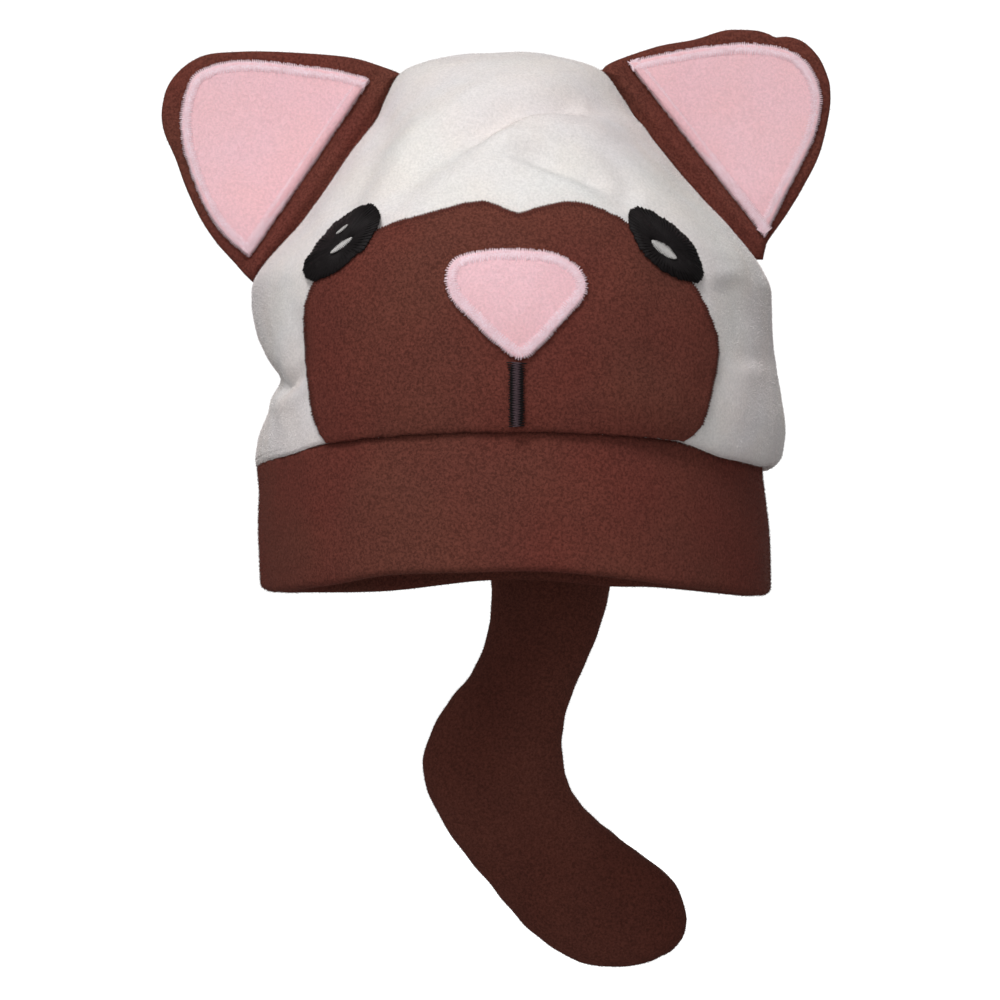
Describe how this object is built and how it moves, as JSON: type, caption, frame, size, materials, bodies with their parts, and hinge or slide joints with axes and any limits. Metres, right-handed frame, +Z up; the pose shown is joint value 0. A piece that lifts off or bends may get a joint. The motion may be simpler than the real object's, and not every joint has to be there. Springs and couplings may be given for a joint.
{
  "type": "fleece animal hat",
  "caption": "Fleece cat hat with a round crown, doubled band, padded standing ears, sewn muzzle, nose and stitched eyes, and a stuffed tail hanging at the back.",
  "frame": {"origin": "middle of the head opening, level with the hem at the sides of the head", "axes": "+Z up through the crown, -Y the way the face looks, +X to the face's right as seen from the front"},
  "size_m": [0.2282, 0.2343, 0.3294],
  "materials": {
    "cream_fleece": "matt brushed pile",
    "brown_fleece": "matt brushed pile",
    "pink_fleece": "matt brushed pile",
    "black_thread": "satin stitched thread"
  },
  "bodies": {
    "root": {"crown_front": "cream_fleece", "crown_back": "cream_fleece", "band": "brown_fleece", "muzzle_patch": "brown_fleece", "nose": "pink_fleece", "mouth_line": "black_thread", "eye_left": "black_thread", "eye_right": "black_thread", "ear_left": "brown_fleece", "ear_right": "brown_fleece", "inner_ear_left": "pink_fleece", "inner_ear_right": "pink_fleece", "tail": "brown_fleece"}
  },
  "joints": []
}
